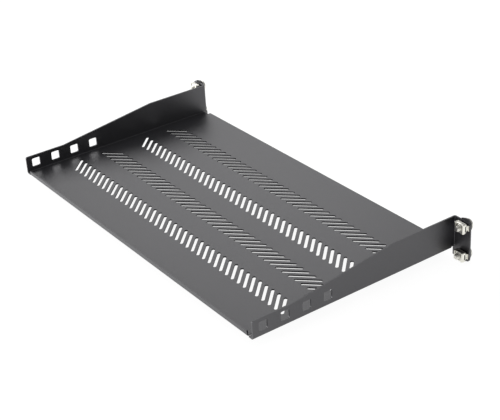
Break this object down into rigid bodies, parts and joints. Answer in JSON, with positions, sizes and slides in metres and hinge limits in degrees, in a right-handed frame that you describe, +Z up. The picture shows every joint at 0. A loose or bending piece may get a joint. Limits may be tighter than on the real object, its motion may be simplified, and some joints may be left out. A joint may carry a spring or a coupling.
{
  "type": "vented rack shelf",
  "caption": "One-unit cantilever rack shelf folded from one steel sheet: slotted deck, low side walls, two ears with cage nuts and cup washers.",
  "frame": {"origin": "centre of the four rail holes, on the rear faces of the ears, which seat on the rack's rails", "axes": "+X along the ears (to the right seen from the front of the rack), +Y into the rack, +Z up"},
  "size_m": [0.4826, 0.2566, 0.0482],
  "materials": {
    "powder_coat": "fine matt powder coat, near-black grey",
    "zinc": "bright zinc plating",
    "spring_steel": "bright zinc-plated spring steel",
    "black_plastic": "satin moulded plastic"
  },
  "bodies": {
    "root": {"shelf_tray": "powder_coat", "rail_screw_upper_left": "zinc", "cup_washer_upper_left": "black_plastic", "square_nut_upper_left": "zinc", "nut_cage_upper_left": "spring_steel", "rail_screw_upper_right": "zinc", "cup_washer_upper_right": "black_plastic", "square_nut_upper_right": "zinc", "nut_cage_upper_right": "spring_steel", "rail_screw_lower_left": "zinc", "cup_washer_lower_left": "black_plastic", "square_nut_lower_left": "zinc", "nut_cage_lower_left": "spring_steel", "rail_screw_lower_right": "zinc", "cup_washer_lower_right": "black_plastic", "square_nut_lower_right": "zinc", "nut_cage_lower_right": "spring_steel"}
  },
  "joints": []
}
